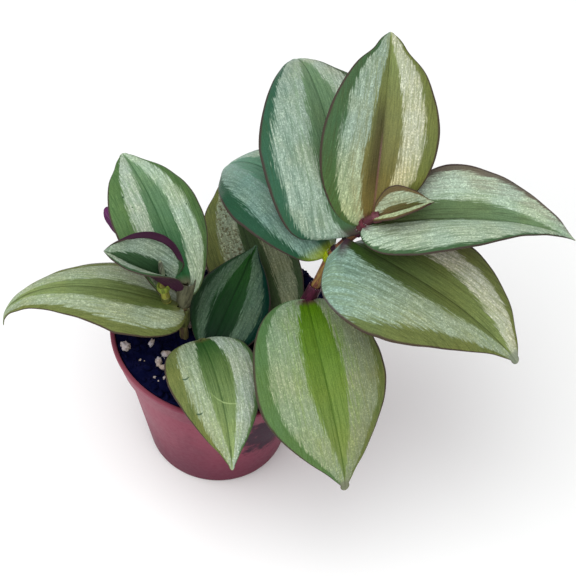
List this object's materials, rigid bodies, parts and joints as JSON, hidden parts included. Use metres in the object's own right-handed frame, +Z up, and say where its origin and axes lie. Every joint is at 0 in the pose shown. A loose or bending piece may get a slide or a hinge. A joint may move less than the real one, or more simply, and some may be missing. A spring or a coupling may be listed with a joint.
{
  "type": "potted tradescantia",
  "caption": "Young trailing houseplant with pointed silver and green striped leaves, purple underneath, whose leaning shoots spill over the rim of a small tapered nursery pot of dark soil.",
  "frame": {"origin": "centre of the pot's flat underside, on the surface it stands on", "axes": "+Z up along the pot's axis. The long right shoot leans towards +X, the longest left leaf reaches towards -X and the small front leaf hangs over the rim towards -Y, the side the plant is seen from"},
  "size_m": [0.134, 0.0899, 0.1103],
  "materials": {
    "pot": "satin moulded plastic, dusty rose",
    "soil": "dark moist potting soil with pale perlite grains",
    "stem": "fleshy olive stem with brown and purple streaks",
    "leaf": "soft leaf, green with silver bands, purple underneath"
  },
  "bodies": {
    "root": {"pot": "pot", "soil": "soil", "stem_right": "stem", "stem_left": "stem", "stem_left_side": "stem", "stem_middle": "stem", "leaf_right_front": "leaf", "leaf_right_low": "leaf", "leaf_right_long": "leaf", "leaf_right_top": "leaf", "leaf_right_back": "leaf", "leaf_right_rear": "leaf", "leaf_right_young": "leaf", "leaf_middle_rear": "leaf", "leaf_left_tall": "leaf", "leaf_left_long": "leaf", "leaf_left_side": "leaf", "leaf_left_under": "leaf", "leaf_middle_dark": "leaf", "leaf_front_small": "leaf", "leaf_left_bud": "leaf"}
  },
  "joints": []
}
